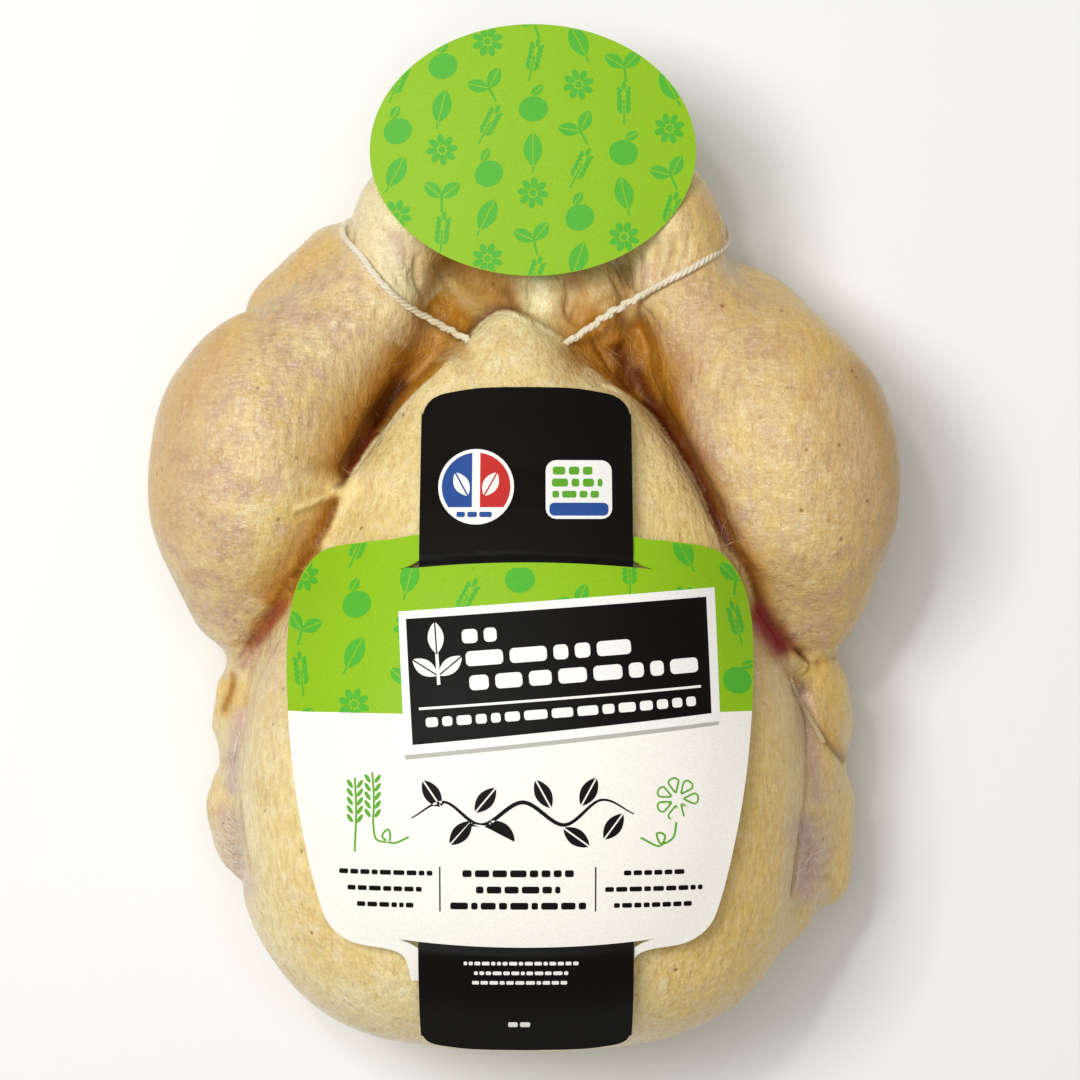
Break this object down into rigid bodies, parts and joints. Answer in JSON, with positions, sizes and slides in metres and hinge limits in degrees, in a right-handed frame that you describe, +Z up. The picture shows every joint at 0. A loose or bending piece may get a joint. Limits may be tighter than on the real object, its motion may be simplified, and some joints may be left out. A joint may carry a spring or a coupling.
{
  "type": "whole raw chicken",
  "caption": "Trussed whole raw chicken lying on its back, legs tied with string, with a card label on a band over the breast and an oval label over the leg ends.",
  "frame": {"origin": "on the surface it rests on, under the middle of the bounding box", "axes": "+Z up, the breast side; +Y from the neck end to the tail end; +X to the bird's own right as it lies"},
  "size_m": [0.1943, 0.2618, 0.1087],
  "materials": {
    "skin": "moist, satin",
    "string": "matt, twisted",
    "green_card": "satin printed card",
    "black_card": "satin printed card"
  },
  "bodies": {
    "root": {"chicken": "skin", "truss_string": "string", "wing_string": "string", "label_panel": "green_card", "label_band": "black_card", "label_oval": "green_card"}
  },
  "joints": []
}
